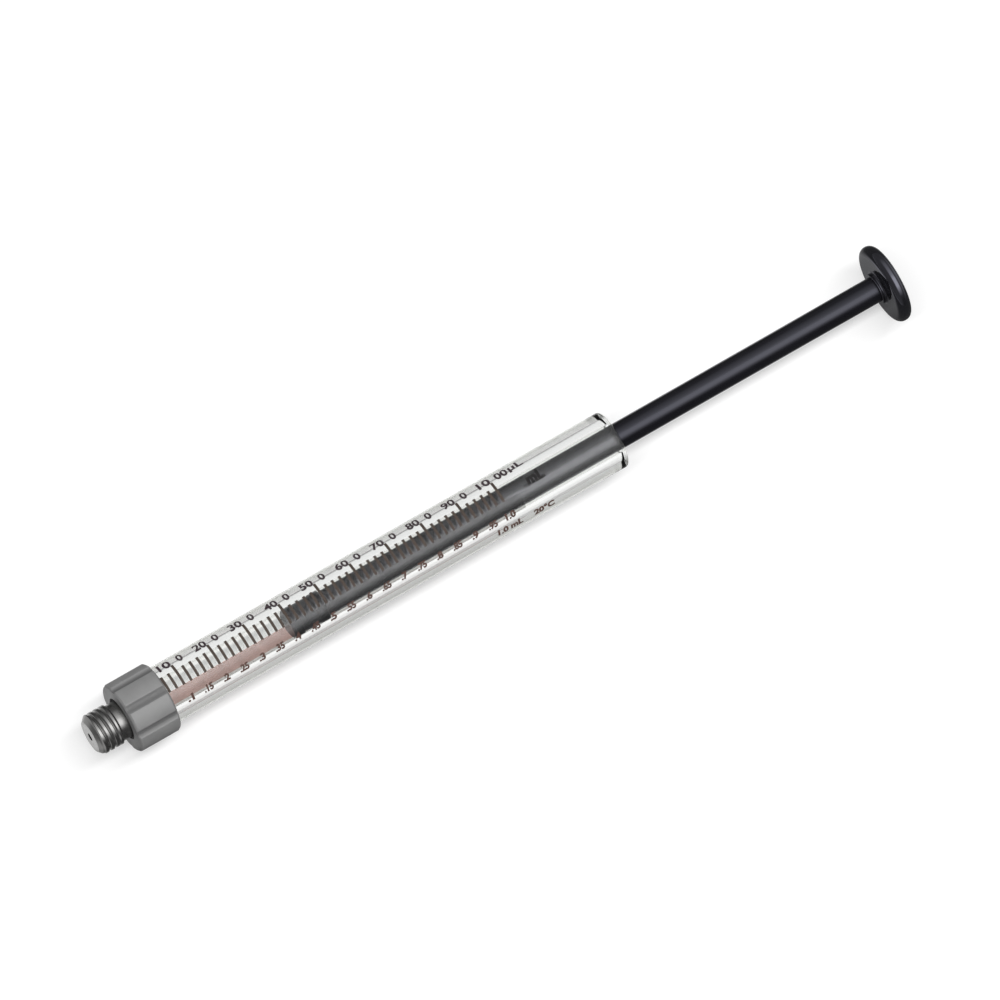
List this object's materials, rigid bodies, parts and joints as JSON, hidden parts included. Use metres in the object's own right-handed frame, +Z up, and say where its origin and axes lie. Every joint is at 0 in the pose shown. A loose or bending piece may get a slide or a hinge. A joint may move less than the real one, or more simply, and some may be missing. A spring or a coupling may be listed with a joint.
{
  "type": "gas-tight microsyringe",
  "caption": "Gas-tight microsyringe lying flat: printed glass barrel, lobed clamp nut with a threaded port at the front, black sliding plunger with a round push button.",
  "frame": {"origin": "on the surface the syringe lies on, under the middle of its length at rest", "axes": "+X along the syringe's axis from the threaded port to the push button, +Z up"},
  "size_m": [0.136, 0.0122, 0.0121],
  "materials": {
    "stainless": "fine turned stainless steel",
    "nut_grey": "satin grey anodised",
    "white_ptfe": "white PTFE",
    "barrel_glass": "clear borosilicate, fire-polished end",
    "seal_black": "carbon-filled PTFE",
    "rod_black": "gloss black coated steel",
    "button_black": "gloss black moulded"
  },
  "bodies": {
    "barrel": {"glass_barrel": "barrel_glass", "port_fitting": "stainless", "clamp_nut": "nut_grey", "end_seal": "white_ptfe", "barrel_ferrule": "stainless"},
    "tip": {"tip_seal": "seal_black"},
    "plunger": {"plunger_rod": "rod_black", "push_button": "button_black"}
  },
  "joints": [
    {"name": "plunger_slide", "type": "slide", "parent": "barrel", "child": "tip", "axis": [1, 0, 0], "range_m": [-0.02411, 0.03584]},
    {"name": "plunger_spin", "type": "hinge", "parent": "tip", "child": "plunger", "pos_m": [-0.03334, 0, 0.00606], "axis": [1, 0, 0], "continuous": true}
  ]
}
